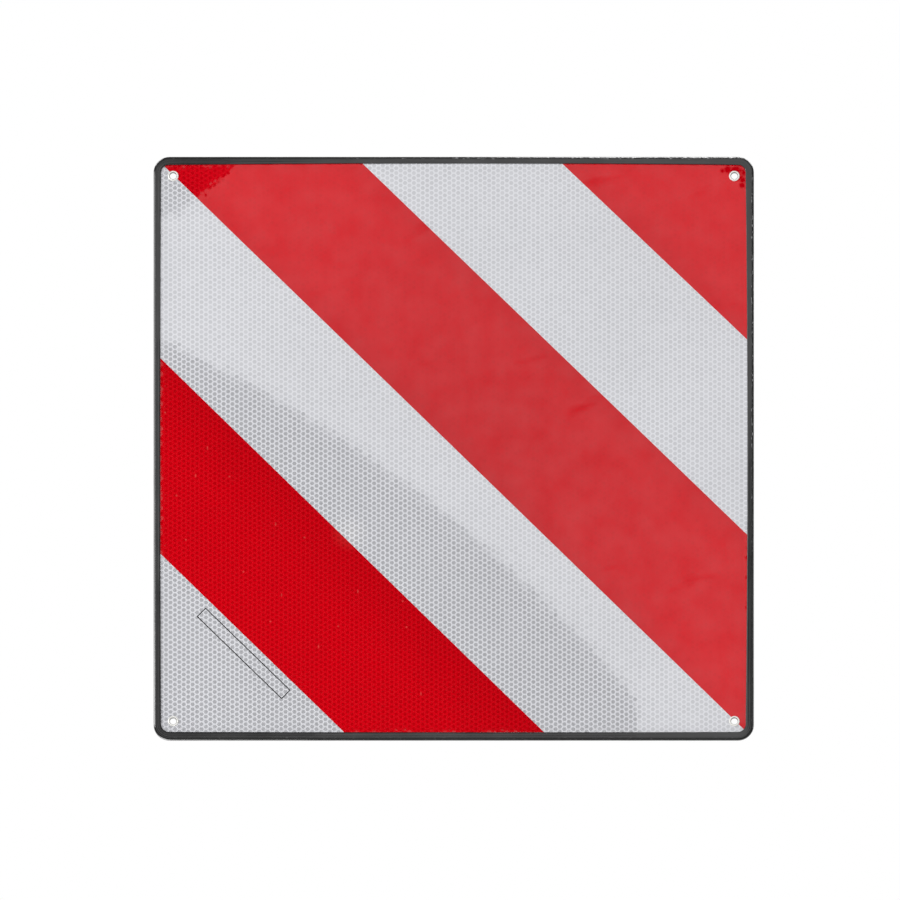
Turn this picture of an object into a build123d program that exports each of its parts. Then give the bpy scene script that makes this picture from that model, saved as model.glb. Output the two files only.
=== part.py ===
from build123d import *
import os

# Square warning panel for an overhanging load, in millimetres.
# Row frame: X is to the right seen from the front, Z is up and the front faces -Y.
# The origin is the middle of the eyelet pattern, on the back of the backing sheet.
# Each piece is drawn lying down, with Z as the height above the back of the sheet, and is then stood up.

# Backing sheet
panel_side = 500.0
panel_thickness = 1.0
panel_corner_radius = 12.0

# Layers on the face, from the sheet outwards
adhesive_thickness = 0.05
sheeting_thickness = 0.35
red_film_thickness = 0.08

# Diagonal stripes, measured square to their edges; one edge runs from corner to corner
stripe_width = 120.0

# Edge trim, a U-section with rounded corners
trim_web = 1.5
trim_lip_thickness = 2.0
trim_lip_reach = 4.9
trim_lip_rounding = 0.6
trim_nose_rounding = 2.2
trim_clearance = 0.05

# Eyelets, rolled over the face in front and clenched over a washer behind
eyelet_inset = 15.0
eyelet_bore_radius = 2.75
eyelet_wall = 0.35
eyelet_hole_clearance = 0.15
flange_radius = 4.5
flange_height = 0.9
clench_radius = 4.2
clench_height = 0.7
washer_radius = 4.9
washer_thickness = 0.3

# Heights above the back of the sheet
sheeting_base = panel_thickness + adhesive_thickness
sheeting_top = sheeting_base + sheeting_thickness
face_height = sheeting_top + red_film_thickness

# Places and radii that several pieces share
eyelet_spacing = panel_side - 2 * eyelet_inset
barrel_radius = eyelet_bore_radius + eyelet_wall
punched_radius = barrel_radius + eyelet_hole_clearance
panel_half_diagonal = panel_side / 2**0.5

# Each red stripe lies between two distances from the corner-to-corner edge, towards the top right corner
red_stripes = {
    "corner": (2 * stripe_width, panel_half_diagonal),
    "middle": (0.0, stripe_width),
    "lower": (-2 * stripe_width, -stripe_width),
}

eyelet_spots = {
    "top_left": (-eyelet_spacing / 2, eyelet_spacing / 2),
    "top_right": (eyelet_spacing / 2, eyelet_spacing / 2),
    "bottom_left": (-eyelet_spacing / 2, -eyelet_spacing / 2),
    "bottom_right": (eyelet_spacing / 2, -eyelet_spacing / 2),
}


def punched_outline():
    """The sheet's outline with its four punched holes, which every full-size layer shares."""
    holes = [Pos(x, y) * Circle(punched_radius) for x, y in eyelet_spots.values()]
    return RectangleRounded(panel_side, panel_side, panel_corner_radius) - holes


def layer(outline, base, thickness):
    """A flat layer of the given outline, standing on the height base."""
    return extrude(Pos(0, 0, base) * outline, amount=thickness)


def red_film(near, far):
    """Overlay film of one diagonal stripe, cut to the sheet's outline and punched with it."""
    band = Rot(0, 0, -45) * Pos(0, (near + far) / 2) * Rectangle(2 * panel_half_diagonal, far - near)
    return layer(punched_outline() & band, sheeting_top, red_film_thickness)


def trim_profile():
    """Section of the trim: X is outwards from the sheet's edge, Y is the height above its back."""
    slot_back = -trim_clearance
    slot_front = face_height + trim_clearance
    back = slot_back - trim_lip_thickness
    front = slot_front + trim_lip_thickness
    lip_end = -trim_lip_reach
    outline = Polyline(
        (lip_end, back),
        (trim_web, back),
        (trim_web, front),
        (lip_end, front),
        (lip_end, slot_front),
        (trim_clearance, slot_front),
        (trim_clearance, slot_back),
        (lip_end, slot_back),
        close=True,
    )
    section = make_face(outline)
    lip_ends = section.vertices().group_by(Axis.X)[0].sort_by(Axis.Y)
    section = fillet([lip_ends[0], lip_ends[-1]], trim_lip_rounding)
    nose_corners = section.vertices().group_by(Axis.X)[-1]
    return fillet(nose_corners, trim_nose_rounding)


def edge_trim():
    """The trim as one closed ring: a straight length and a bend of its section for each side of the sheet."""
    edge = panel_side / 2
    straight = edge - panel_corner_radius
    section = Pos(edge, straight, 0) * (Plane.XZ * trim_profile())
    length = extrude(section, amount=2 * straight, dir=(0, -1, 0))
    bend = revolve(section, axis=Axis((straight, straight, 0), (0, 0, 1)), revolution_arc=90)
    quarters = [Rot(0, 0, turn) * piece for turn in (0, 90, 180, 270) for piece in (length, bend)]
    return quarters[0].fuse(*quarters[1:])


def half_bead(inner, outer, seat, height, start_angle):
    """Half ellipse that stands on a seat between two radii, as the section of a rolled rim."""
    centre = ((inner + outer) / 2, seat)
    return EllipticalCenterArc(centre, (outer - inner) / 2, height, start_angle, arc_size=180)


def eyelet():
    """One set eyelet: a barrel with a rolled flange in front and a clenched rim behind."""
    front_seat = face_height
    back_seat = -washer_thickness
    bore = eyelet_bore_radius
    section = make_face(
        [
            Line((bore, back_seat), (bore, front_seat)),
            half_bead(bore, flange_radius, front_seat, flange_height, 0),
            Line((flange_radius, front_seat), (flange_radius - eyelet_wall, front_seat)),
            half_bead(barrel_radius, flange_radius - eyelet_wall, front_seat, flange_height - eyelet_wall, 0),
            Line((barrel_radius, front_seat), (barrel_radius, back_seat)),
            half_bead(barrel_radius, clench_radius - eyelet_wall, back_seat, clench_height - eyelet_wall, 180),
            Line((clench_radius - eyelet_wall, back_seat), (clench_radius, back_seat)),
            half_bead(bore, clench_radius, back_seat, clench_height, 180),
        ]
    )
    return revolve(Plane.XZ * section, axis=Axis.Z)


def washer():
    """Flat ring between the back of the sheet and the eyelet's clenched rim."""
    return layer(Circle(washer_radius) - Circle(punched_radius), -washer_thickness, washer_thickness)


def build_pieces():
    """Every piece by its name, lying down."""
    outline = punched_outline()
    pieces = {
        "backing_panel": layer(outline, 0.0, panel_thickness),
        "sheeting_adhesive": layer(outline, panel_thickness, adhesive_thickness),
        "reflective_sheeting": layer(outline, sheeting_base, sheeting_thickness),
        "edge_trim": edge_trim(),
    }
    for name, (near, far) in red_stripes.items():
        pieces[f"red_stripe_{name}"] = red_film(near, far)
    for name, (x, y) in eyelet_spots.items():
        pieces[f"eyelet_{name}"] = Pos(x, y, 0) * eyelet()
        pieces[f"washer_{name}"] = Pos(x, y, 0) * washer()
    return pieces


os.makedirs("parts", exist_ok=True)
for name, piece in build_pieces().items():
    export_step(Plane.XZ * piece, f"parts/{name}.step")
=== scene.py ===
# %% [markdown]
# # A striped warning panel
# This panel is tied to the back of a load that sticks out behind a vehicle. It is a thin metal sheet with a
# reflective face, three red stripes, a black trim round its edge and a metal eyelet in each corner. The
# solids give the places and sizes, and this lesson adds cells, grooves, rolled rims and finishes. Lengths
# are in metres, and MM turns millimetres into metres.

# %% Load the solids
import math

import bmesh
import bpy
from mathutils import Matrix, Vector


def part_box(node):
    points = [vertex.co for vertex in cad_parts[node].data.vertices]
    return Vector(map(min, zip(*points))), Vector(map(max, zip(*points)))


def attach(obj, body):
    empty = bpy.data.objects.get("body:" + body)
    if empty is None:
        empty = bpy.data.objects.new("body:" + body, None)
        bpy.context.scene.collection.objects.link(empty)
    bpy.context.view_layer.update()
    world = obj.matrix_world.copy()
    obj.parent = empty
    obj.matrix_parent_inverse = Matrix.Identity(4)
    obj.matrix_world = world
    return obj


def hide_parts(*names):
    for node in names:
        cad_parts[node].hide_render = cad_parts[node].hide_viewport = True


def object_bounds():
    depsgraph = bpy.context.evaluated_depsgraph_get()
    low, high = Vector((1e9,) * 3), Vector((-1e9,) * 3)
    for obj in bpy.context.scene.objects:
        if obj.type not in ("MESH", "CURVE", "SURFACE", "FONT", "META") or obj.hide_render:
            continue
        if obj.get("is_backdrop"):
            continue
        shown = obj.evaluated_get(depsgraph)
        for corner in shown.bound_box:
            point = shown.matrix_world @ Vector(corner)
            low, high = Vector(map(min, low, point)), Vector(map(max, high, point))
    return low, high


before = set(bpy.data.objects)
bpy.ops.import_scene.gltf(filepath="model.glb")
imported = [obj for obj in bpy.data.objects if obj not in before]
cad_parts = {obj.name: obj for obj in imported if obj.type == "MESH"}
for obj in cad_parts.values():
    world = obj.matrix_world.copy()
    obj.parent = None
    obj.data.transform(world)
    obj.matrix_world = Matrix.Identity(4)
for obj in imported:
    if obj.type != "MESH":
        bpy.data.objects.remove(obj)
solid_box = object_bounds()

MM = 0.001
print("pieces of the solid model:", sorted(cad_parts))

# %% [markdown]
# ## Sizes that the pieces share
# A dressed piece has to sit where its solid sits, so heights are read from the solids' boxes and not typed
# again. The front of the panel looks along -Y, so a height above the back of the sheet is minus a Y
# coordinate. Only sizes that a box can't give, such as the stripes' width, are written here.

# %% Read the sizes
sheet_low, sheet_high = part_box("reflective_sheeting")
sheet_side = sheet_high.x - sheet_low.x
sheet_base = -sheet_high.y
sheet_top = -sheet_low.y
film_top = -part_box("red_stripe_middle")[0].y
corner_radius = 12 * MM
stripe_width = 120 * MM
lip_reach = 4.9 * MM
half_diagonal = sheet_side / math.sqrt(2)
corners = {
    "top_left": (-1, 1),
    "top_right": (1, 1),
    "bottom_left": (-1, -1),
    "bottom_right": (1, -1),
}


def front(x, height, z):
    """A place on the panel, given by its height above the back of the sheet, as a point of the scene."""
    return Vector((x, -height, z))


def middle_of(node):
    """Middle of a solid, as X and Z on the panel."""
    low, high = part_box(node)
    return (low.x + high.x) / 2, (low.z + high.z) / 2


eyelet_spots = {name: middle_of(f"eyelet_{name}") for name in corners}
print(f"sheet {sheet_side / MM:.1f} mm square")
print(f"face {sheet_top / MM:.2f} mm and films {film_top / MM:.2f} mm above the back of the sheet")

# %% [markdown]
# ## Small helpers for node trees
# Geometry trees and materials are both made of nodes and wires. A few helpers keep the later cells short:
# one adds a node and wires its inputs, one does a sum, and one runs a tree and keeps its result as a mesh.

# %% Node helpers
def add(tree, kind, wires=None, **settings):
    """Adds a node. Each wire is another node's output, or a plain value, for one named or numbered input."""
    node = tree.nodes.new(kind)
    for name, value in settings.items():
        setattr(node, name, value)
    for name, value in (wires or {}).items():
        if isinstance(value, bpy.types.NodeSocket):
            tree.links.new(value, node.inputs[name])
        else:
            node.inputs[name].default_value = value
    return node


def maths(tree, operation, first, second=0.0):
    """The output of one Math node."""
    return add(tree, "ShaderNodeMath", {0: first, 1: second}, operation=operation).outputs[0]


def product(tree, first, *others):
    """Several values multiplied together."""
    for other in others:
        first = maths(tree, "MULTIPLY", first, other)
    return first


def axes(tree, place):
    """The X, Y and Z of a place, by name."""
    return add(tree, "ShaderNodeSeparateXYZ", {0: place}).outputs


def new_tree(name, inputs):
    """An empty geometry tree. Gives the tree, its named inputs and the socket for the finished mesh."""
    tree = bpy.data.node_groups.new(name, "GeometryNodeTree")
    for label, kind in inputs.items():
        tree.interface.new_socket(label, in_out="INPUT", socket_type=f"NodeSocket{kind}")
    tree.interface.new_socket("Mesh", in_out="OUTPUT", socket_type="NodeSocketGeometry")
    given = tree.nodes.new("NodeGroupInput").outputs
    return tree, given, tree.nodes.new("NodeGroupOutput").inputs["Mesh"]


def mesh_from(tree, name, values):
    """Runs a geometry tree with these inputs and keeps the result as a plain mesh object at the origin."""
    piece = bpy.data.objects.new(name, bpy.data.meshes.new(name))
    bpy.context.scene.collection.objects.link(piece)
    modifier = piece.modifiers.new("Nodes", "NODES")
    modifier.node_group = tree
    for socket in tree.interface.items_tree:
        if socket.in_out == "INPUT":
            modifier[socket.identifier] = values[socket.name]
    depsgraph = bpy.context.evaluated_depsgraph_get()
    mesh = bpy.data.meshes.new_from_object(
        piece.evaluated_get(depsgraph), preserve_all_data_layers=True, depsgraph=depsgraph
    )
    piece.modifiers.clear()
    piece.data = mesh
    mesh.name = name
    return piece


def put_in_place(piece, slot, *nodes):
    """The piece moves with the panel and stands for these solids. The slot is not used."""
    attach(piece, "root")
    if nodes:
        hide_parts(*nodes)
    triangles = sum(len(face.vertices) - 2 for face in piece.data.polygons)
    print(f"{piece.name}: {triangles} triangles")


# %% [markdown]
# ## Finish of the reflective sheeting
# The sheeting is a clear glossy film over thousands of small six-sided cells with plain white walls between
# them. The cells are a little silvery and send light back to where it came from, so they look darker from
# anywhere else. One material for walls and one for cells lets the mesh carry the pattern. In both, the
# clear film is the shader's coat, so its sharp gloss lies over duller cells. Slow waves stand for a sheet
# that is never quite flat, and each cell leans its own way.
#
# The panel has been used. The film is hazy, was wiped dull in places, and is rubbed and pressed round the
# top right eyelet, where the cells are painted darker for crushed cells and as painted shade of the pressed
# dish. The red is dirty along its edges, one spot is dusty, and the lowest film has specks and short
# scratches. Painted light makes the colours paler beside the trim, against the shade of its lip, and
# brighter towards the panel's edges. Places on the panel give all of this, so it stays there when the
# camera moves.

# %% Material helpers
def new_material(name, **sockets):
    """A material with its main shader, whose even values are set on the shader's own sockets."""
    material = bpy.data.materials.new(name)
    material.use_nodes = True
    shader = material.node_tree.nodes["Principled BSDF"]
    for socket, value in sockets.items():
        shader.inputs[socket.replace("_", " ")].default_value = value
    print("finish:", name)
    return material, material.node_tree, shader


def wire_up(tree, shader, **outputs):
    """Wires the outputs of nodes to the shader's sockets of these names."""
    for socket, output in outputs.items():
        tree.links.new(output, shader.inputs[socket.replace("_", " ")])


def places(tree):
    """Places on the panel, which stay on it whatever the view."""
    return add(tree, "ShaderNodeTexCoord").outputs["Object"]


def ranged(tree, value, low, high, start=0.0, end=1.0):
    """A value that runs from start to end, stretched to run from low to high."""
    wires = {"Value": value, "From Min": start, "From Max": end, "To Min": low, "To Max": high}
    return add(tree, "ShaderNodeMapRange", wires).outputs["Result"]


def noise(tree, place, scale, detail=2.0):
    """A cloudy pattern with about scale clouds to the metre."""
    return add(tree, "ShaderNodeTexNoise", {"Vector": place, "Scale": scale, "Detail": detail}).outputs["Fac"]


def varied(tree, colour, amount):
    """A colour times an amount that nodes work out."""
    return add(tree, "ShaderNodeVectorMath", {0: colour, 1: amount}, operation="MULTIPLY").outputs[0]


def bumped(tree, height, distance, normal=None):
    """A normal for a height that nodes work out, from 0 to 1, where 1 is this distance in metres."""
    wires = {"Distance": distance, "Height": height}
    if normal:
        wires["Normal"] = normal
    return add(tree, "ShaderNodeBump", wires).outputs["Normal"]


# %% Wear of the face
def specks(tree, place, apart, stretch, size):
    """Sparse specks, from 0 to 1, stretched upwards. Their size is a share of how far apart they are."""
    wires = {"Vector": place, "Rotation": (-math.pi / 2, 0.0, 0.0)}
    wires["Scale"] = (1.0 / apart, 1.0, 1.0 / apart / stretch)
    spread = add(tree, "ShaderNodeMapping", wires).outputs[0]
    settings = {"voronoi_dimensions": "2D", "feature": "F1"}
    wires = {"Vector": spread, "Scale": 1.0}
    distance = add(tree, "ShaderNodeTexVoronoi", wires, **settings).outputs["Distance"]
    return ranged(tree, distance, 1.0, 0.0, 0.4 * size, size)


def near_spot(tree, place, spot, inner, outer):
    """A value that is 1 near a spot on the panel and falls to 0 between two distances from it."""
    wires = {0: place, 1: front(spot[0], film_top, spot[1])}
    distance = add(tree, "ShaderNodeVectorMath", wires, operation="DISTANCE").outputs["Value"]
    return ranged(tree, distance, 1.0, 0.0, inner, outer)


def edge_distance(tree, place):
    """Distance out from the sheet's rounded edge, which is negative on the face."""
    spot = axes(tree, place)
    straight = sheet_side / 2 - corner_radius
    past = [maths(tree, "SUBTRACT", maths(tree, "ABSOLUTE", spot[axis]), straight) for axis in "XZ"]
    past = [maths(tree, "MAXIMUM", distance, 0.0) for distance in past]
    square = maths(tree, "ADD", *[product(tree, distance, distance) for distance in past])
    return maths(tree, "SUBTRACT", maths(tree, "SQRT", square), corner_radius)


# Each mark has a distance to the right of the eyelet, a distance above it and a reach, in millimetres.
rub_marks = (
    (1.5, 2.0, 6.3),
    (-5.5, 5.5, 2.8),
    (-10.0, 4.5, 1.6),
    (6.5, 2.5, 3.0),
    (7.0, -3.5, 2.2),
    (6.5, -8.0, 2.2),
)


def rubbed(tree, place):
    """Marks of the tool that set the top right eyelet, from 0 to 1, with ragged edges."""
    eyelet = eyelet_spots["top_right"]
    marks = 0.0
    for right, up, reach in rub_marks:
        spot = (eyelet[0] + right * MM, eyelet[1] + up * MM)
        mark = near_spot(tree, place, spot, (reach - 0.8) * MM, (reach + 1.2) * MM)
        marks = maths(tree, "MAXIMUM", marks, mark)
    ragged = ranged(tree, noise(tree, place, 260.0, 2.0), 0.55, 1.0, 0.35, 0.48)
    return product(tree, marks, ragged)


def soiled(tree, place, amount, reach, edges):
    """Share of a colour that dirt leaves along these edges of the films, thinning out over this reach."""
    spot = axes(tree, place)
    across = product(tree, maths(tree, "ADD", spot["X"], spot["Z"]), math.sqrt(0.5))
    left = 1.0
    for edge in edges:
        distance = maths(tree, "ABSOLUTE", maths(tree, "SUBTRACT", across, edge))
        left = maths(tree, "MINIMUM", left, ranged(tree, distance, 1.0 - amount, 1.0, 0.0, reach))
    return left


def film_gloss(tree, place):
    """Gloss of the hazy clear film, about 1, with less in wiped smears and where it is rubbed."""
    smear_turn = math.radians(-15)
    smear_length = 0.07
    smear_width = 0.022
    wires = {"Vector": place, "Rotation": (0.0, smear_turn, 0.0), "Scale": (smear_length, 1.0, smear_width)}
    wiped = add(tree, "ShaderNodeMapping", wires, vector_type="TEXTURE").outputs[0]
    smears = ranged(tree, noise(tree, wiped, 1.0, 3.0), 0.0, 0.5, 0.62, 0.76)
    lost = maths(tree, "MAXIMUM", smears, rubbed(tree, place))
    hazy = ranged(tree, noise(tree, place, 45.0, 4.0), 1.20, 0.77, 0.3, 0.7)
    return product(tree, hazy, maths(tree, "SUBTRACT", 1.0, lost))


# %% Sheeting materials
def leaning(tree, cell, lean):
    """A normal for cells that each lean their own way, by up to this slope to the side and upwards."""
    scramble = 37.0
    other = maths(tree, "FRACT", product(tree, cell, scramble))
    wires = {"X": ranged(tree, cell, -lean, lean), "Z": ranged(tree, other, -lean, lean)}
    slope = add(tree, "ShaderNodeCombineXYZ", wires).outputs[0]
    upright = add(tree, "ShaderNodeNewGeometry").outputs["Normal"]
    return add(tree, "ShaderNodeVectorMath", {0: upright, 1: slope}, operation="ADD").outputs[0]


# Dirt has an amount, a reach and the edges of the films that it lies along.
clean = (0.0, 1.0, ())
middle_spot = (0.0, 0.0)
dusty_spot = (-0.087, -0.0725)
dust_colour = (1.0, 0.92, 0.75)
# Reach of the painted light beside the trim.
painted_light_reach = 2.7 * MM


def sheeting_finish(name, colour, silver, spread, lean, edge_light=0.0, worn=0.0, dusty=0.0, soil=clean):
    """Sheeting of one colour under its clear film, with differing cells, wear, painted light and painted
    shade.
    """
    film = {"Specular_IOR_Level": 0.0, "Coat_Roughness": 0.1, "Coat_IOR": 1.5}
    material, tree, shader = new_material(name, Metallic=silver, Roughness=0.28, **film)
    place = places(tree)
    cloud = ranged(tree, noise(tree, place, 9.0, 3.0), 0.975, 1.02, 0.3, 0.7)
    cell = add(tree, "ShaderNodeAttribute", attribute_name="tone").outputs["Fac"]
    each = ranged(tree, cell, 1.0 - spread, 1.0 + spread)
    # Painted light: colours grow brighter from the middle out to the panel's edges and corners.
    painted_light_to_edges = ranged(tree, near_spot(tree, place, middle_spot, 0.05, 0.33), 1.0 + edge_light, 1.0)
    # Painted light: the face is painted paler close to the trim, against the shade that its lip casts.
    painted_light_by_trim = ranged(tree, edge_distance(tree, place), 1.0, 1.26, -lip_reach - painted_light_reach, -lip_reach)
    # Painted shade: the cells round the top right eyelet are painted darker, for crushed cells and the shade
    # of the pressed dish.
    pressed_and_shaded = ranged(tree, rubbed(tree, place), 1.0, 0.74)
    dirt = soiled(tree, place, *soil)
    base = varied(tree, colour, product(tree, cloud, each, painted_light_to_edges, painted_light_by_trim, pressed_and_shaded, dirt))
    dots = specks(tree, place, 70 * MM, 1.0, 0.015)
    scratches = specks(tree, place, 45 * MM, 2.5, 0.018)
    marks = product(tree, maths(tree, "MAXIMUM", dots, scratches), worn)
    dust = product(tree, near_spot(tree, place, dusty_spot, 2 * MM, 17 * MM), dusty)
    pale = varied(tree, dust_colour, maths(tree, "MAXIMUM", marks, dust))
    marked = add(tree, "ShaderNodeVectorMath", {0: base, 1: pale}, operation="ADD").outputs[0]
    gloss = film_gloss(tree, place)
    wavy = bumped(tree, noise(tree, place, 11.0, 1.0), 0.05 * MM, leaning(tree, cell, lean))
    wire_up(tree, shader, Base_Color=marked, Coat_Weight=gloss, Normal=wavy, Coat_Normal=wavy)
    return material


wall_spread = 0.01
wall_lean = 0.012
cell_spread = 0.045
cell_lean = 0.05


def wall_finish(name, colour, **age_and_light):
    """Plain walls between the cells, nearly alike."""
    return sheeting_finish(name, colour, 0.0, wall_spread, wall_lean, **age_and_light)


def cell_finish(name, colour, silver, **age_and_light):
    """Silvery cells, which lean and differ a little."""
    return sheeting_finish(name, colour, silver, cell_spread, cell_lean, **age_and_light)


upper_edges = (0.0, stripe_width, 2 * stripe_width)
lower_edges = (-stripe_width,)
# The white and red films also carry a share of painted light towards the edges.
white_age_and_light = {"edge_light": 0.03, "dusty": 0.08}
red_age_and_light = {"edge_light": 0.20, "soil": (0.08, 22 * MM, upper_edges)}
lower_age = {"worn": 0.05, "dusty": 0.02, "soil": (0.14, 50 * MM, lower_edges)}
white_wall = wall_finish("white_cell_wall", (0.725, 0.730, 0.766), **white_age_and_light)
white_cell = cell_finish("white_silvery_cell", (0.578, 0.583, 0.612), 0.28, **white_age_and_light)
red_wall = wall_finish("red_over_wall", (0.572, 0.0003, 0.0065), **red_age_and_light)
red_cell = cell_finish("red_over_cell", (0.562, 0.0002, 0.0055), 0.26, **red_age_and_light)
faded_wall = wall_finish("faded_red_over_wall", (0.680, 0.0003, 0.0065), **lower_age)
faded_cell = cell_finish("faded_red_over_cell", (0.672, 0.0002, 0.0050), 0.26, **lower_age)

# %% [markdown]
# ## The honeycomb
# A honeycomb could be drawn cell by cell, but it follows a rule: it is the dual of a grid of equal
# triangles. So the tree makes a grid, moves every second column by half a step, cuts it into triangles, and
# takes the dual mesh, which has one six-sided face for each grid point. Each face gets a random number, its
# tone, which the materials read. It is then raised a little and shrunk, which leaves the cell on top and
# its walls round it. Under a red film the cells stay plain and cheap.

# %% Honeycomb tree
def shifted_grid(tree, given, spot):
    """A grid of points in which every second column is half a step higher, cut into equal triangles."""
    pitch = given["Pitch"]
    column_step = product(tree, pitch, math.sqrt(3) / 2)
    grid = add(
        tree,
        "GeometryNodeMeshGrid",
        {
            "Size X": product(tree, column_step, maths(tree, "SUBTRACT", given["Columns"], 1.0)),
            "Size Y": product(tree, pitch, maths(tree, "SUBTRACT", given["Rows"], 1.0)),
            "Vertices X": given["Columns"],
            "Vertices Y": given["Rows"],
        },
    )
    column = maths(tree, "ROUND", maths(tree, "DIVIDE", spot["X"], column_step))
    odd = maths(tree, "FLOORED_MODULO", column, 2.0)
    half_step = product(tree, odd, pitch, 0.5)
    shift = add(tree, "ShaderNodeCombineXYZ", {"Y": half_step}).outputs[0]
    moved = add(tree, "GeometryNodeSetPosition", {"Geometry": grid.outputs["Mesh"], "Offset": shift})
    wires = {"Mesh": moved.outputs[0]}
    return add(tree, "GeometryNodeTriangulate", wires, quad_method="SHORTEST_DIAGONAL").outputs[0]


def honeycomb_tree():
    """A sheet of six-sided cells, standing up and facing -Y, for the stripe between Near and Far."""
    sizes = ("Pitch", "Cell Share", "Relief", "Height", "Near", "Far", "Stripe Width")
    inputs = {"Columns": "Int", "Rows": "Int", **{size: "Float" for size in sizes}}
    inputs.update({"Cells Everywhere": "Bool", "Seed": "Int", "Wall": "Material", "Cell": "Material"})
    tree, given, finished = new_tree("Honeycomb sheet", inputs)
    pitch = given["Pitch"]
    stripe = given["Stripe Width"]
    position = add(tree, "GeometryNodeInputPosition").outputs[0]
    spot = axes(tree, position)
    cells = add(tree, "GeometryNodeDualMesh", {"Mesh": shifted_grid(tree, given, spot)}).outputs[0]

    across = product(tree, maths(tree, "ADD", spot["X"], spot["Y"]), math.sqrt(0.5))
    below = maths(tree, "LESS_THAN", across, maths(tree, "SUBTRACT", given["Near"], pitch))
    above = maths(tree, "GREATER_THAN", across, maths(tree, "ADD", given["Far"], pitch))
    outside = maths(tree, "MAXIMUM", below, above)
    kept = add(tree, "GeometryNodeDeleteGeometry", {0: cells, 1: outside}, domain="FACE").outputs[0]

    chance = add(tree, "FunctionNodeRandomValue", {"Seed": given["Seed"]}, data_type="FLOAT").outputs[1]
    wires = {"Geometry": kept, "Name": "tone", "Value": chance}
    settings = {"data_type": "FLOAT", "domain": "FACE"}
    toned = add(tree, "GeometryNodeStoreNamedAttribute", wires, **settings).outputs[0]

    in_pair = maths(tree, "FLOORED_MODULO", across, product(tree, stripe, 2.0))
    in_white = maths(tree, "GREATER_THAN", in_pair, maths(tree, "SUBTRACT", stripe, pitch))
    shown = maths(tree, "MAXIMUM", in_white, maths(tree, "LESS_THAN", in_pair, pitch))
    shown = maths(tree, "MAXIMUM", shown, given["Cells Everywhere"])
    wires = {"Mesh": toned, "Selection": shown, "Offset Scale": given["Relief"], "Individual": True}
    raised = add(tree, "GeometryNodeExtrudeMesh", wires, mode="FACES").outputs
    wires = {"Geometry": raised["Mesh"], "Selection": raised["Top"], "Scale": given["Cell Share"]}
    shrunk = add(tree, "GeometryNodeScaleElements", wires, domain="FACE").outputs[0]
    smooth = add(tree, "GeometryNodeSetShadeSmooth", {"Geometry": shrunk}).outputs[0]

    lift = add(tree, "ShaderNodeCombineXYZ", {"Y": product(tree, given["Height"], -1.0)}).outputs[0]
    wires = {"Geometry": smooth, "Translation": lift, "Rotation": (math.pi / 2, 0.0, 0.0)}
    stood = add(tree, "GeometryNodeTransform", wires).outputs[0]
    real = add(tree, "GeometryNodeRealizeInstances", {0: stood}).outputs[0]
    walls = add(tree, "GeometryNodeSetMaterial", {"Geometry": real, "Material": given["Wall"]}).outputs[0]
    wires = {"Geometry": walls, "Selection": raised["Top"], "Material": given["Cell"]}
    tree.links.new(add(tree, "GeometryNodeSetMaterial", wires).outputs[0], finished)
    return tree


cell_pitch = 4.28 * MM
cell_relief = 0.003 * MM
column_step = cell_pitch * math.sqrt(3) / 2
lattice = {
    "Columns": 2 * math.ceil(sheet_side / 2 / column_step + 1) + 1,
    "Rows": 2 * math.ceil(sheet_side / 2 / cell_pitch + 1) + 1,
    "Pitch": cell_pitch,
    "Relief": cell_relief,
    "Stripe Width": stripe_width,
    "Seed": 7,
}
honeycomb = honeycomb_tree()
print(f"honeycomb of {lattice['Columns']} columns and {lattice['Rows']} rows of cells")

# %% [markdown]
# ## Cutting the honeycomb to shape
# The real sheeting is cut with a blade and punched, so its outline runs straight through cells. A boolean
# would do that, but cutting a mesh with planes is quicker and leaves clean edges. What lies outside a plane
# is removed: four planes for the sides, a few more for each rounded corner, and two for a stripe. A punched
# hole is a ring of cuts whose inside is then deleted. At the end the open edge is drawn back to the layer's
# base and filled.

# %% Cutting helpers
def faces_near(bm, x, z, reach):
    """The faces whose middle is within reach of a spot on the panel."""

    def distance(face):
        middle = face.calc_center_median()
        return math.hypot(middle.x - x, middle.z - z)

    return [face for face in bm.faces if distance(face) < reach]


def cut(bm, faces, point, outward, remove=True):
    """Cuts these faces along a plane, removes what lies outside it unless told not to, and gives the rest."""
    edges = {edge for face in faces for edge in face.edges}
    verts = {vert for face in faces for vert in face.verts}
    left = bmesh.ops.bisect_plane(
        bm, geom=[*faces, *edges, *verts], dist=1e-8, plane_co=point, plane_no=outward, clear_outer=remove
    )
    return [item for item in left["geom"] if isinstance(item, bmesh.types.BMFace)]


sides = ((1, 0), (-1, 0), (0, 1), (0, -1))


def cut_outline(bm, steps=8):
    """Cuts a sheet to the panel's rounded square."""
    for x, z in sides:
        outward = front(x, 0, z)
        cut(bm, bm.faces[:], outward * sheet_side / 2, outward)
    middle = sheet_side / 2 - corner_radius
    reach = corner_radius * math.cos(math.pi / 4 / steps)
    for x, z in corners.values():
        centre = front(x * middle, 0, z * middle)
        local = faces_near(bm, x * sheet_side / 2, z * sheet_side / 2, 1.3 * corner_radius)
        for step in range(steps):
            turn = math.pi / 2 * (step + 0.5) / steps
            outward = front(x * math.cos(turn), 0, z * math.sin(turn))
            local = cut(bm, local, centre + outward * reach, outward)


def cut_stripe(bm, near, far):
    """Cuts a sheet to a stripe. Each edge has a distance from the panel's middle and a turn in degrees."""
    diagonal = front(1, 0, 1).normalized()
    for (distance, turn), side in ((near, -1), (far, 1)):
        outward = Matrix.Rotation(math.radians(turn), 3, "Y") @ diagonal
        cut(bm, bm.faces[:], diagonal * distance, outward * side)


def punch_hole(bm, x, z, radius, cuts=12):
    """Punches a round hole, with flat sides that the eyelet's rim covers."""
    centre = front(x, 0, z)
    local = faces_near(bm, x, z, radius + cell_pitch)
    for step in range(cuts):
        turn = math.tau * step / cuts
        outward = front(math.cos(turn), 0, math.sin(turn))
        local = cut(bm, local, centre + outward * radius, outward, remove=False)
    bmesh.ops.delete(bm, geom=faces_near(bm, x, z, radius), context="FACES")


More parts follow.
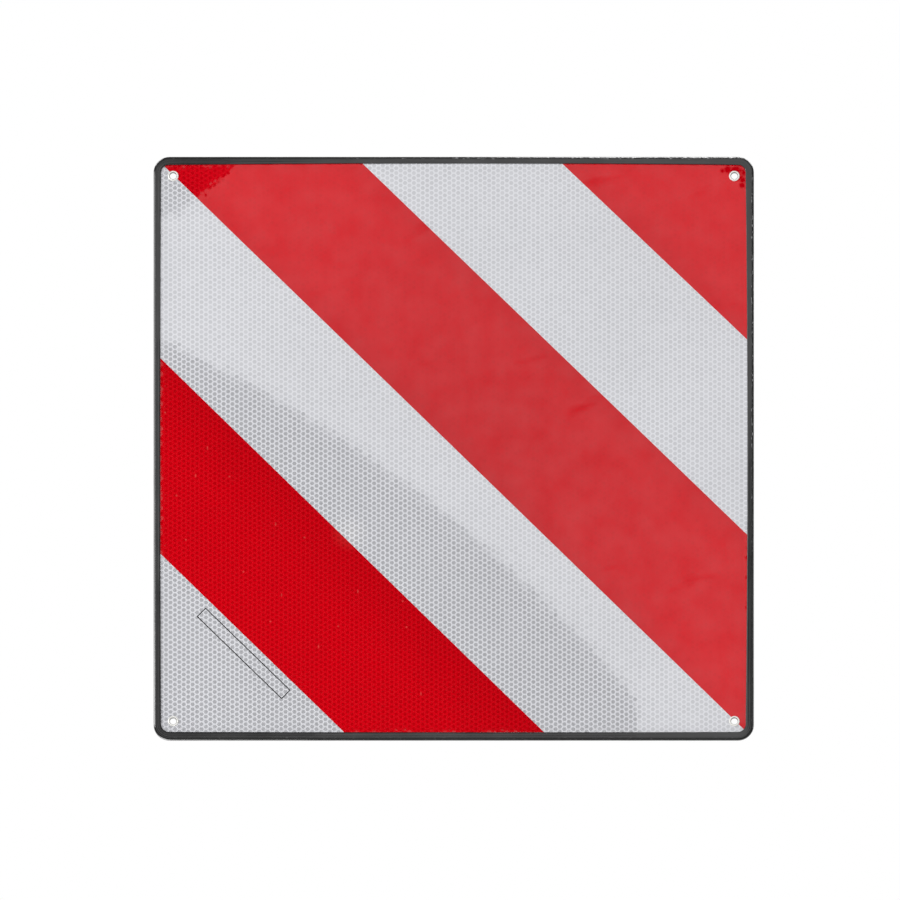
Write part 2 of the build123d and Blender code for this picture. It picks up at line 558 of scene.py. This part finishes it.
# %% Backing helpers
def back_up(bm, base):
    """Draws the open edges of a sheet back to its base and fills that, so the sheet becomes a thin solid."""
    rim = [edge for edge in bm.edges if edge.is_boundary]
    for edge in rim:
        edge.smooth = False
    drawn = bmesh.ops.extrude_edge_only(bm, edges=rim)["geom"]
    for vert in (item for item in drawn if isinstance(item, bmesh.types.BMVert)):
        vert.co.y = -base
    low_rim = [edge for edge in bm.edges if edge.is_boundary]
    filled = bmesh.ops.triangle_fill(bm, edges=low_rim, normal=(0, 1, 0))["geom"]
    for face in (item for item in [*drawn, *filled] if isinstance(item, bmesh.types.BMFace)):
        face.smooth = False
        face.material_index = 0
    bmesh.ops.recalc_face_normals(bm, faces=bm.faces[:])


# A patch of the map has a start, the same both ways, and a size.
face_patch = (0.01, 0.97)
hidden_patch = (0.985, 0.01)


def map_flat(bm, base):
    """Lays the face out flat on its own map, with the hidden base shrunk into a corner of it."""
    layer = bm.loops.layers.uv.new("OFBake")
    low_x = min(vert.co.x for vert in bm.verts)
    low_z = min(vert.co.z for vert in bm.verts)
    width = max(vert.co.x for vert in bm.verts) - low_x
    height = max(vert.co.z for vert in bm.verts) - low_z
    span = max(width, height)
    for face in bm.faces:
        hidden = all(vert.co.y > -base - 1e-7 for vert in face.verts)
        start, size = hidden_patch if hidden else face_patch
        for loop in face.loops:
            u = (loop.vert.co.x - low_x) / span
            v = (loop.vert.co.z - low_z) / span
            loop[layer].uv = (start + size * u, start + size * v)


# %% [markdown]
# ## The white sheeting and the red films
# The sheeting covers the whole face in one piece. The red stripes are clear red films laid over it, through
# which its cells still show. A see-through film would need light to pass it twice, which renders slowly and
# exports badly, so each film is a solid of its own that carries the same cells in red. All share one
# lattice, so the cells run on from white into red without a step. Through the film a cell looks smaller,
# because its rim is blurred. The films were laid by hand, so their edges lie up to 2.2 mm off and aren't
# quite parallel.

# %% Make the sheeting and the films
punched_radius = 3.3 * MM
white_cell_share = 0.73
red_cell_share = 0.60


def sheeting_piece(name, base, top, stripe, cell_share, finishes):
    """One layer of sheeting between two heights: the whole face, or one diagonal stripe of it."""
    near, far = stripe or whole_face
    wall, cell = finishes
    values = {"Height": top - cell_relief, "Near": near[0], "Far": far[0], "Cell Share": cell_share}
    values.update({"Cells Everywhere": stripe is not None, "Wall": wall, "Cell": cell})
    piece = mesh_from(honeycomb, name, {**lattice, **values})
    bm = bmesh.new()
    bm.from_mesh(piece.data)
    cut_outline(bm)
    if stripe:
        cut_stripe(bm, near, far)
    for x, z in eyelet_spots.values():
        punch_hole(bm, x, z, punched_radius)
    back_up(bm, base)
    map_flat(bm, base)
    bm.to_mesh(piece.data)
    bm.free()
    return piece


whole_face = ((-half_diagonal, 0.0), (half_diagonal, 0.0))
white = (white_wall, white_cell)
sheeting = sheeting_piece("white_sheeting", sheet_base, sheet_top, None, white_cell_share, white)
put_in_place(sheeting, "white_sheeting", "reflective_sheeting")

# Each film has a near and a far edge: its distance from the panel's middle, and its turn in degrees.
red_stripes = {
    "corner": ((2 * stripe_width - 0.9 * MM, -0.6), (half_diagonal, 0.0)),
    "middle": ((0.7 * MM, 0.0), (stripe_width + 0.5 * MM, -0.2)),
    "lower": ((-2 * stripe_width + 2.2 * MM, 0.0), (-stripe_width + 1.0 * MM, 0.1)),
}
for name, stripe in red_stripes.items():
    red = (faded_wall, faded_cell) if name == "lower" else (red_wall, red_cell)
    film = sheeting_piece(f"red_film_{name}", sheet_top, film_top, stripe, red_cell_share, red)
    put_in_place(film, "red_film", f"red_stripe_{name}")

# %% [markdown]
# ## A section swept round a ring
# The trim, the eyelets and the washers are all one section carried round a closed path: a square with
# rounded corners for the trim, and for the others a circle, which is a square with its corners rounded all
# the way. So one tree makes them all. The section is a flat closed curve, and Curve to Mesh sweeps it along
# the path. A little noise keeps the soft trim and the pressed metal from looking machined.

# %% Ring tree
def ring_tree():
    """A section swept round a rounded rectangle, standing up and facing -Y."""
    sizes = ("Width", "Height", "Corner Radius", "Step", "Turn", "Wobble", "Wobble Scale")
    inputs = {"Section": "Object", "Corner Steps": "Int", "Centre": "Vector", "Finish": "Material"}
    tree, given, finished = new_tree("Swept ring", {**inputs, **{size: "Float" for size in sizes}})
    wires = {"Width": given["Width"], "Height": given["Height"]}
    square = add(tree, "GeometryNodeCurvePrimitiveQuadrilateral", wires).outputs[0]
    wires = {"Curve": square, "Count": given["Corner Steps"], "Radius": given["Corner Radius"]}
    rounded = add(tree, "GeometryNodeFilletCurve", {**wires, "Limit Radius": True}, mode="POLY").outputs[0]
    wires = {"Curve": rounded, "Length": given["Step"]}
    even = add(tree, "GeometryNodeResampleCurve", wires, mode="LENGTH").outputs[0]
    path = add(tree, "GeometryNodeSetCurveNormal", {"Curve": even}, mode="Z_UP").outputs[0]
    section = add(tree, "GeometryNodeObjectInfo", {"Object": given["Section"]}).outputs["Geometry"]
    swept = add(tree, "GeometryNodeCurveToMesh", {"Curve": path, "Profile Curve": section}).outputs[0]

    wires = {"Scale": given["Wobble Scale"], "Detail": 1.0}
    ripple = add(tree, "ShaderNodeTexNoise", wires).outputs["Fac"]
    inward = product(tree, ripple, -1.0, given["Wobble"])
    normal = add(tree, "GeometryNodeInputNormal").outputs[0]
    push = add(tree, "ShaderNodeVectorMath", {0: normal, "Scale": inward}, operation="SCALE").outputs[0]
    uneven = add(tree, "GeometryNodeSetPosition", {"Geometry": swept, "Offset": push}).outputs[0]
    smooth = add(tree, "GeometryNodeSetShadeSmooth", {"Geometry": uneven}).outputs[0]

    spin = add(tree, "ShaderNodeCombineXYZ", {"Z": given["Turn"]}).outputs[0]
    wires = {"Geometry": smooth, "Translation": given["Centre"], "Rotation": spin}
    placed = add(tree, "GeometryNodeTransform", wires).outputs[0]
    wires = {"Geometry": placed, "Rotation": (math.pi / 2, 0.0, 0.0)}
    stood = add(tree, "GeometryNodeTransform", wires).outputs[0]
    real = add(tree, "GeometryNodeRealizeInstances", {0: stood}).outputs[0]
    wires = {"Geometry": real, "Material": given["Finish"]}
    tree.links.new(add(tree, "GeometryNodeSetMaterial", wires).outputs[0], finished)
    return tree


def arc(centre, width, height, start, end, steps):
    """Points on part of an ellipse, from one angle to another in degrees."""
    angles = [math.radians(start + (end - start) * step / steps) for step in range(steps + 1)]
    return [(centre[0] + width * math.cos(a), centre[1] + height * math.sin(a)) for a in angles]


def section_curve(name, points):
    """A closed curve through points in millimetres: out from the path, and height above the sheet's back."""
    curve = bpy.data.curves.new(name, "CURVE")
    spline = curve.splines.new("POLY")
    spline.points.add(len(points) - 1)
    for point, (out, height) in zip(spline.points, points):
        point.co = (out * MM, -height * MM, 0.0, 1.0)
    spline.use_cyclic_u = True
    holder = bpy.data.objects.new(name, curve)
    bpy.context.scene.collection.objects.link(holder)
    return holder


ring = ring_tree()
print(f"{ring.name}: {len(ring.nodes)} nodes")


def ring_piece(name, points, values):
    """One ring of a section, as a plain mesh whose faces point outwards."""
    section = section_curve(f"{name}_section", points)
    piece = mesh_from(ring, name, {**values, "Section": section})
    bpy.data.objects.remove(section)
    bm = bmesh.new()
    bm.from_mesh(piece.data)
    bmesh.ops.recalc_face_normals(bm, faces=bm.faces[:])
    bm.to_mesh(piece.data)
    bm.free()
    return piece


# %% [markdown]
# ## The edge trim
# The trim is a soft black U-section pushed over the edge of the sheet, with two lips and a rounded nose. A
# groove parts the nose from each lip, and a finer line runs along the lip, as the die that the trim is
# drawn through leaves them. A swept section gives all of that at once. The lips of the real trim aren't
# straight: they lie further in towards the corners, so they are moved a little after the sweep.
#
# The finish has to run along the trim too, so it is laid out by the distance out from the sheet's edge and
# the distance along it: fine drawn lines, slightly dusty patches, a nose painted darker than the lip as
# painted shade, and pale flecks and creases on the nose towards the top right corner.

# %% Trim finish
def towards_top_right(tree, place):
    """Distance up the diagonal, which grows along the trim's top and right sides towards their corner."""
    spot = axes(tree, place)
    return maths(tree, "ADD", spot["X"], spot["Z"])


def along_trim(tree, place, fine, long):
    """A place for noise that is fine across the trim and long along it."""
    depth = axes(tree, place)["Y"]
    wires = {"X": edge_distance(tree, place), "Y": depth, "Z": towards_top_right(tree, place)}
    lengthwise = add(tree, "ShaderNodeCombineXYZ", wires).outputs[0]
    wires = {0: lengthwise, 1: (1.0 / fine, 1.0 / fine, 1.0 / long)}
    return add(tree, "ShaderNodeVectorMath", wires, operation="MULTIPLY").outputs[0]


def trim_finish():
    """Glossy soft black plastic: drawn lines, dust, painted shade on the nose, pale flecks at top right."""
    material, tree, shader = new_material("black_trim", IOR=1.55)
    place = places(tree)
    drawn = noise(tree, along_trim(tree, place, 0.5 * MM, 60 * MM), 1.0, 2.0)
    fleck_noise = noise(tree, along_trim(tree, place, 0.8 * MM, 4 * MM), 1.0, 3.0)
    nose = ranged(tree, edge_distance(tree, place), 0.0, 1.0, -1.2 * MM, -0.4 * MM)
    top_right_share = ranged(tree, towards_top_right(tree, place), 0.10, 1.0, 0.15, 0.36)
    dust = ranged(tree, noise(tree, place, 35.0, 5.0), 0.8, 1.25, 0.35, 0.7)
    lines = ranged(tree, drawn, 0.7, 1.3, 0.3, 0.7)
    # Painted shade: the nose is painted darker than the lip.
    black = product(tree, ranged(tree, nose, 0.028, 0.008), dust, lines)
    # Pale flecks on the nose, more of them towards the top right.
    pale_flecks = product(tree, nose, top_right_share, ranged(tree, fleck_noise, 0.0, 0.5, 0.60, 0.70))
    base = varied(tree, (1.0, 1.0, 1.02), maths(tree, "ADD", black, pale_flecks))
    polish = ranged(tree, noise(tree, place, 60.0, 4.0), 0.10, 0.20, 0.35, 0.7)
    creases = noise(tree, along_trim(tree, place, 1.6 * MM, 5.0 * MM), 1.0, 2.0)
    creased = product(tree, nose, top_right_share, creases)
    normal = bumped(tree, creased, 0.35 * MM, bumped(tree, drawn, 0.012 * MM))
    wire_up(tree, shader, Base_Color=base, Roughness=polish, Normal=normal)
    return material


black_trim = trim_finish()

# %% Trim section and ring
def groove(out, width, depth):
    """Three points of a shallow groove, as steps along a lip and depths below it."""
    return [(out - width / 2, 0.0), (out, -depth), (out + width / 2, 0.0)]


def trim_section():
    """The trim's section, from the front lip's end over the nose to the back lip and through the slot."""
    low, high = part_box("edge_trim")
    face, back = -low.y / MM, -high.y / MM
    nose = (high.x - sheet_side / 2) / MM
    lip_end, lip_rounding, nose_rounding = -lip_reach / MM, 0.6, 2.2
    slot_back, slot_face, slot_end = -0.05, film_top / MM + 0.05, 0.05
    lip_arc_centre = lip_end + lip_rounding
    nose_arc_centre = nose - nose_rounding
    lip = [*groove(-2.4, 0.5, 0.06), *groove(nose_arc_centre - 0.35, 0.6, 0.14)]
    points = [(lip_end, slot_face)]
    points += arc((lip_arc_centre, face - lip_rounding), lip_rounding, lip_rounding, 180, 90, 5)
    points += [(out, face + drop) for out, drop in lip]
    points += arc((nose_arc_centre, face - nose_rounding), nose_rounding, nose_rounding, 90, 0, 14)
    points += arc((nose_arc_centre, back + nose_rounding), nose_rounding, nose_rounding, 0, -90, 14)
    points += [(out, back - drop) for out, drop in reversed(lip)]
    points += arc((lip_arc_centre, back + lip_rounding), lip_rounding, lip_rounding, -90, -180, 5)
    return points + [(lip_end, slot_back), (slot_end, slot_back), (slot_end, slot_face)]


# How far in the lips are moved half way along each side, and at its ends. Minus is outwards.
lip_bows = {
    ("x", -1): (-0.65 * MM, 0.0),
    ("x", 1): (-0.75 * MM, 0.75 * MM),
    ("z", -1): (0.3 * MM, 0.6 * MM),
    ("z", 1): (-0.4 * MM, 0.9 * MM),
}


def bow_lips(piece):
    """Moves the lips of a trim inwards as lip_bows says, with less for what lies nearer to its nose."""
    straight = sheet_side / 2 - corner_radius
    for vert in piece.data.vertices:
        side = {axis: math.copysign(1, getattr(vert.co, axis)) for axis in "xz"}
        past = {axis: max(abs(getattr(vert.co, axis)) - straight, 0.0) for axis in "xz"}
        away = math.hypot(*past.values())
        share = min(max((corner_radius - away) / lip_reach, 0.0), 1.0)
        bow = 0.0
        for axis, other in ("xz", "zx"):
            middle, corner = lip_bows[axis, side[axis]]
            along = min(abs(getattr(vert.co, other)) / straight, 1.0)
            bow += (middle + (corner - middle) * along**2) * (past[axis] / away) ** 2
        for axis in "xz":
            inward = bow * share * past[axis] / away
            setattr(vert.co, axis, getattr(vert.co, axis) - side[axis] * inward)


trim = ring_piece(
    "edge_trim_ring",
    trim_section(),
    {
        "Width": sheet_side,
        "Height": sheet_side,
        "Corner Radius": corner_radius,
        "Corner Steps": 14,
        "Step": 2.2 * MM,
        "Centre": (0.0, 0.0, 0.0),
        "Turn": 0.0,
        "Wobble": 0.1 * MM,
        "Wobble Scale": 45.0,
        "Finish": black_trim,
    },
)
bow_lips(trim)
put_in_place(trim, "black_trim", "edge_trim")
trim_reach = max(vert.co.x for vert in trim.data.vertices)
print(f"trim reaches {trim_reach / MM:.2f} mm out from the panel's middle")

# %% [markdown]
# ## Eyelets and washers
# An eyelet is a short tube of thin bright metal. Its front edge is rolled outwards into a bead before it is
# set, and the setting tool curls its back edge over a washer. On a lathe it would be one section turned
# round an axis, which is what the ring tree does with a circle as its path. The four are the same, so a
# loop makes them. The plating is satin with dulled spots, and the bores are painted darker, for dirt and
# as painted shade.

# %% Metal finish
def axis_distance(tree, place):
    """Distance from the axis of the nearest eyelet."""
    spot = axes(tree, place)
    inset = eyelet_spots["top_right"][0]
    offsets = [maths(tree, "SUBTRACT", maths(tree, "ABSOLUTE", spot[axis]), inset) for axis in "XZ"]
    squares = [product(tree, offset, offset) for offset in offsets]
    return maths(tree, "SQRT", maths(tree, "ADD", *squares))


def plated_finish(name, colour, metal, dull):
    """Satin plated metal with faint scratches, dulled spots, and dirt and painted shade down in the bore."""
    material, tree, shader = new_material(name, Metallic=metal)
    place = places(tree)
    spots = ranged(tree, noise(tree, place, 700.0, 3.0), dull, dull + 0.16, 0.35, 0.75)
    stain = ranged(tree, noise(tree, place, 420.0, 4.0), 0.94, 1.02, 0.3, 0.7)
    # Painted shade with dirt: the bore is painted darker.
    bore_shade_and_grime = ranged(tree, axis_distance(tree, place), 0.22, 1.0, 2.95 * MM, 3.4 * MM)
    base = varied(tree, colour, product(tree, stain, bore_shade_and_grime))
    scratched = bumped(tree, noise(tree, place, 2500.0, 2.0), 0.004 * MM)
    wire_up(tree, shader, Base_Color=base, Roughness=spots, Normal=scratched)
    return material


bright_nickel = plated_finish("bright_nickel", (0.97, 0.96, 0.92), 0.15, 0.28)
dull_nickel = plated_finish("dull_nickel", (0.74, 0.73, 0.71), 0.4, 0.32)

# %% Eyelets and washers, whose sections are in millimetres
bore_radius = 2.75
tube_wall = 0.35
washer_thickness = 0.3


def eyelet_section():
    """Section of a set eyelet as radius and height: bore, front bead, barrel and curled back edge."""
    low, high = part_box("eyelet_top_left")
    seat = film_top / MM
    rolled = (high.x - low.x) / 2 / MM
    crown = -low.y / MM - seat
    curl = 4.2
    curl_drop = 0.7
    bead = (bore_radius + rolled) / 2
    hook = (bore_radius + curl) / 2
    points = arc((bead, seat), rolled - bead, crown, 180, 0, 24)
    points += arc((bead, seat), rolled - bead - tube_wall, crown - tube_wall, 0, 180, 14)
    inner = (curl - hook - tube_wall, curl_drop - tube_wall)
    points += arc((hook, -washer_thickness), *inner, 180, 360, 10)
    return points + arc((hook, -washer_thickness), curl - hook, curl_drop, 360, 180, 18)


def washer_section():
    """Section of a stamped washer, with its outer edge rounded by the stamp."""
    low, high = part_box("washer_top_left")
    outer = (high.x - low.x) / 2 / MM
    half = washer_thickness / 2
    inner = punched_radius / MM
    points = [(inner, -2 * half), (inner, 0.0)]
    return points + arc((outer - half, -half), half, half, 90, -90, 8)


def turned(name, section, spot, finish):
    """A section of radii and heights turned round one eyelet's axis."""
    path = bore_radius * MM
    points = [(radius - bore_radius, height) for radius, height in section]
    values = {"Width": 2 * path, "Height": 2 * path, "Corner Radius": path, "Corner Steps": 16, "Turn": 0.0}
    values.update({"Step": math.tau * path / 64, "Centre": (*spot, 0.0), "Finish": finish})
    return ring_piece(name, points, {**values, "Wobble": 0.02 * MM, "Wobble Scale": 380.0})


for name, spot in eyelet_spots.items():
    rolled_eyelet = turned(f"rolled_eyelet_{name}", eyelet_section(), spot, bright_nickel)
    put_in_place(rolled_eyelet, "eyelet_nickel", f"eyelet_{name}")
    stamped_washer = turned(f"stamped_washer_{name}", washer_section(), spot, dull_nickel)
    put_in_place(stamped_washer, "eyelet_nickel", f"washer_{name}")

# %% [markdown]
# ## The bare backing sheet
# From behind, the panel is plain rolled aluminium. The rollers leave fine lines along the sheet, and
# handling leaves faint clouds. The solid's shape is right, so it stays and only gets a material: noise
# stretched along one axis gives the lines. The adhesive between sheet and sheeting is hidden, and is a pale
# cloudy layer.

# %% Backing and adhesive finishes
def rolled_aluminium():
    """Mill-finish aluminium with lines along the rolling direction, which runs up the panel."""
    material, tree, shader = new_material("rolled_aluminium", Metallic=1.0)
    place = places(tree)
    stretch = add(tree, "ShaderNodeMapping", {"Vector": place, "Scale": (900.0, 900.0, 9.0)}).outputs[0]
    lines = noise(tree, stretch, 1.0, 3.0)
    clouds = noise(tree, place, 14.0, 4.0)
    lined = ranged(tree, lines, -0.04, 0.04, 0.3, 0.7)
    shade = maths(tree, "ADD", lined, ranged(tree, clouds, 0.96, 1.02, 0.3, 0.7))
    base = varied(tree, (0.72, 0.73, 0.74), shade)
    polish = ranged(tree, clouds, 0.33, 0.43, 0.3, 0.7)
    wire_up(tree, shader, Base_Color=base, Roughness=polish, Normal=bumped(tree, lines, 0.004 * MM))
    return material


def clear_adhesive():
    """Pale, slightly cloudy pressure-sensitive adhesive."""
    material, tree, shader = new_material("clear_adhesive", Roughness=0.35)
    place = places(tree)
    cloudy = ranged(tree, noise(tree, place, 120.0, 3.0), 0.94, 1.03, 0.3, 0.7)
    wire_up(tree, shader, Base_Color=varied(tree, (0.80, 0.79, 0.74), cloudy))
    return material


for node, finish in (("backing_panel", rolled_aluminium()), ("sheeting_adhesive", clear_adhesive())):
    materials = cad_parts[node].data.materials
    materials.clear()
    materials.append(finish)
    print(f"{node}: {finish.name}")

# %% [markdown]
# ## The printed field
# Low on the left, the white sheeting carries a thin printed rectangle that lies along the stripes, with
# plain sheeting inside. A material could draw it, but here it is another section swept round a path: a
# strip of ink a few hundredths of a millimetre thick.

# %% Printed field
def printing_ink():
    """Black screen-printing ink, a little patchy."""
    material, tree, shader = new_material("printing_ink", Roughness=0.4)
    place = places(tree)
    patchy = ranged(tree, noise(tree, place, 900.0, 3.0), 0.008, 0.03, 0.35, 0.7)
    wire_up(tree, shader, Base_Color=varied(tree, (1.0, 1.0, 1.0), patchy))
    return material


ink_base = sheet_top / MM - 0.005
ink_top = sheet_top / MM + 0.015
line_half = 0.42
field_middle = (-0.176, -0.1765)
field = ring_piece(
    "printed_field_outline",
    [(-line_half, ink_base), (-line_half, ink_top), (line_half, ink_top), (line_half, ink_base)],
    {
        "Width": 100 * MM,
        "Height": 10 * MM,
        "Corner Radius": 0.4 * MM,
        "Corner Steps": 3,
        "Step": 0.5 * MM,
        "Centre": (*field_middle, 0.0),
        "Turn": -math.pi / 4,
        "Wobble": 0.0,
        "Wobble Scale": 1.0,
        "Finish": printing_ink(),
    },
)
put_in_place(field, "black_trim")

# %% [markdown]
# ## Room, light and camera
# The panel was photographed against white, held up in front of the camera and leaning back a little. A pale
# world and one large soft lamp from the lower left light it evenly, so colours come out as they are
# written.
#
# A glossy face also shows what stands in front of it: here a white room, which veils most of the face, and
# round dark screens close by, which leave its lower left and its top left corner clear and deep in colour.
# More screens, two of them half dark, dull the trim low on its right side, at the left end of its top and
# round its bottom left corner. Only glossy rays see the screens. From the camera's angle, a spot on the
# face mirrors a spot of the screen that is higher by the distance times the slope.
#
# More lamps, which only glossy surfaces see, put pale lines on the trim's nose. The floor is hidden from
# glossy rays, so that it doesn't show in the trim.

# %% Floor
def plain_paint(name, colour, glow=0.0):
    """A matt paint for things in the room, which may glow a little."""
    sockets = {"Base_Color": (*colour, 1.0), "Specular_IOR_Level": 0.0, "Emission_Strength": glow}
    return new_material(name, Roughness=0.9, **sockets)[0]


def room_object(name, bm, material):
    """A thing in the room that isn't part of the panel."""
    mesh = bpy.data.meshes.new(name)
    bm.to_mesh(mesh)
    bm.free()
    mesh.materials.append(material)
    thing = bpy.data.objects.new(name, mesh)
    bpy.context.scene.collection.objects.link(thing)
    thing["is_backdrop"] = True
    print("in the room:", name)
    return thing


floor_height = -0.95
bm = bmesh.new()
bmesh.ops.create_grid(bm, x_segments=1, y_segments=1, size=6.0)
floor = room_object("floor", bm, plain_paint("pale_floor", (0.88, 0.88, 0.88)))
floor.location.z = floor_height
floor.visible_glossy = False

# %% Dark screens
# The camera looks up at the panel by this angle.
tilt = math.radians(13.7)
black_cloth = plain_paint("black_cloth", (0.0, 0.0, 0.0))
# The grey screens glow evenly instead of being lit: painted light in place of a dim lit cloth.
glowing_grey_cloth = plain_paint("glowing_grey_cloth", (0.0, 0.0, 0.0), glow=0.36)


def dark_screen(name, cloth, x, z, radius, reach, distance, right=None):
    """A round screen in front of the panel, cut square at this reach from the panel's middle.

    Its mirror picture lies round this spot of the face, and is softer from a greater distance.
    On its right the screen may have a reach of its own."""
    bm = bmesh.new()
    bmesh.ops.create_circle(bm, cap_ends=True, segments=256, radius=radius)
    bmesh.ops.rotate(bm, verts=bm.verts[:], matrix=Matrix.Rotation(math.pi / 2, 3, "X"))
    bmesh.ops.translate(bm, verts=bm.verts[:], vec=front(x, 0, z))
    for side_x, side_z in sides:
        outward = front(side_x, 0, side_z)
        limit = right if right and side_x == 1 else reach
        cut(bm, bm.faces[:], outward * limit, outward)
    screen = room_object(name, bm, cloth)
    screen.location = front(0, film_top + distance, distance * math.tan(tilt))
    screen.visible_camera = False
    screen.visible_diffuse = False
    screen.visible_shadow = False
    screen.visible_transmission = False


near = 30 * MM
midway = 42 * MM
far = 80 * MM
inside_trim = sheet_side / 2 - lip_reach
past_trim = sheet_side / 2 + 12 * MM
dark_screen("lower_dark_screen", black_cloth, -0.742, -0.955, 1.161, inside_trim, near, right=0.153)
dark_screen("corner_dark_screen", black_cloth, -0.3655, 0.4207, 0.254, inside_trim - 1.0 * MM, midway)
dark_screen("upper_left_grey_screen", glowing_grey_cloth, -0.22, 1.2455, 1.0, past_trim, near)
dark_screen("right_dark_screen", black_cloth, 1.669, -0.125, 1.4233, past_trim, near)
dark_screen("lower_left_grey_screen", glowing_grey_cloth, -0.25, -0.25, 0.135, past_trim, far)


# %% Lamps
def soft_lamp(name, place, width, height, power, seen_by):
    """A large lamp that points at the panel and that only diffuse or only glossy surfaces see."""
    lamp = bpy.data.objects.new(name, bpy.data.lights.new(name, "AREA"))
    lamp.data.shape = "RECTANGLE"
    lamp.data.size = width
    lamp.data.size_y = height
    lamp.data.energy = power
    lamp.location = place
    lamp.rotation_euler = (-Vector(place)).to_track_quat("-Z", "Y").to_euler()
    lamp.visible_camera = False
    lamp.visible_diffuse = seen_by == "diffuse"
    lamp.visible_glossy = seen_by == "glossy"
    bpy.context.scene.collection.objects.link(lamp)
    print(f"{name}: {power:.0f} W")


soft_lamp("key_lamp", (-1.4, -1.5, -0.4), 2.0, 2.0, 18.0, "diffuse")
soft_lamp("left_rim_lamp", (-2.4, -0.3, 0.40), 4.4, 1.1, 58.0, "glossy")
soft_lamp("lower_left_lamp", (-1.75, -0.4, 0.13), 2.4, 0.2, 10.0, "glossy")
soft_lamp("low_rim_lamp", (-0.45, 0.30, -0.75), 0.7, 0.5, 7.0, "glossy")
soft_lamp("right_rim_lamp", (2.4, 0.4, 0.12), 2.0, 0.7, 12.0, "glossy")
soft_lamp("top_lamp", (0.3, 0.0, 1.4), 0.5, 0.5, 12.0, "glossy")
for side in (-1.0, 1.0):
    soft_lamp("corner_lamp", (1.2 * side, 0.3, 1.55), 0.9, 0.9, 20.0, "glossy")


# %% World
def white_room(ambient, side):
    """A world of even light. To gloss it has white walls before and behind the panel, and duller sides."""
    world = bpy.data.worlds.new("white_room")
    world.use_nodes = True
    tree = world.node_tree
    direction = add(tree, "ShaderNodeTexCoord").outputs["Generated"]
    forward = axes(tree, direction)["Y"]
    front_wall = ranged(tree, forward, side, 1.0, -0.70, -0.85)
    back_wall = ranged(tree, forward, side, 1.0, 0.2, 0.5)
    walls = maths(tree, "MAXIMUM", front_wall, back_wall)
    rays = add(tree, "ShaderNodeLightPath").outputs
    seen = maths(tree, "MAXIMUM", rays["Is Camera Ray"], rays["Is Transmission Ray"])
    lit = ranged(tree, seen, ambient, 1.0)
    glossy = product(tree, maths(tree, "SUBTRACT", walls, lit), rays["Is Glossy Ray"])
    strength = maths(tree, "ADD", lit, glossy)
    tree.links.new(strength, tree.nodes["Background"].inputs["Strength"])
    tree.nodes["Background"].inputs["Color"].default_value = (1.0, 1.0, 1.0, 1.0)
    return world


bpy.context.scene.world = white_room(ambient=0.81, side=0.2)
bpy.context.scene.view_settings.view_transform = "Standard"
print("world:", bpy.context.scene.world.name)

# %% Camera
photo_pixels = 900
pixels_per_metre = 1194.0
panel_right = 3.75
panel_up = 1.2
camera_distance = 1.5
camera = bpy.data.objects.new("camera", bpy.data.cameras.new("camera"))
camera.data.type = "ORTHO"
camera.data.ortho_scale = photo_pixels / pixels_per_metre
towards_camera = Vector((0.0, -math.cos(tilt), -math.sin(tilt)))
picture_up = Vector((0.0, -math.sin(tilt), math.cos(tilt)))
panel_middle = (solid_box[0] + solid_box[1]) / 2
aim = panel_middle - (Vector((panel_right, 0.0, 0.0)) + panel_up * picture_up) / pixels_per_metre
camera.location = aim + camera_distance * towards_camera
camera.rotation_euler = (-towards_camera).to_track_quat("-Z", "Y").to_euler()
bpy.context.scene.collection.objects.link(camera)
bpy.context.scene.camera = camera
print(f"camera {math.degrees(tilt):.1f} degrees below, picture {camera.data.ortho_scale:.3f} m wide")

# %% [markdown]
# ## Sizes at the end
# The dressed panel has to stay inside the solids' box, so both boxes are written down side by side.

# %% Compare the boxes and finish
boxes = {"solids": solid_box, "dressed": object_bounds()}
for name, (low, high) in boxes.items():
    print(name, [round((b - a) / MM, 2) for a, b in zip(low, high)], "mm")
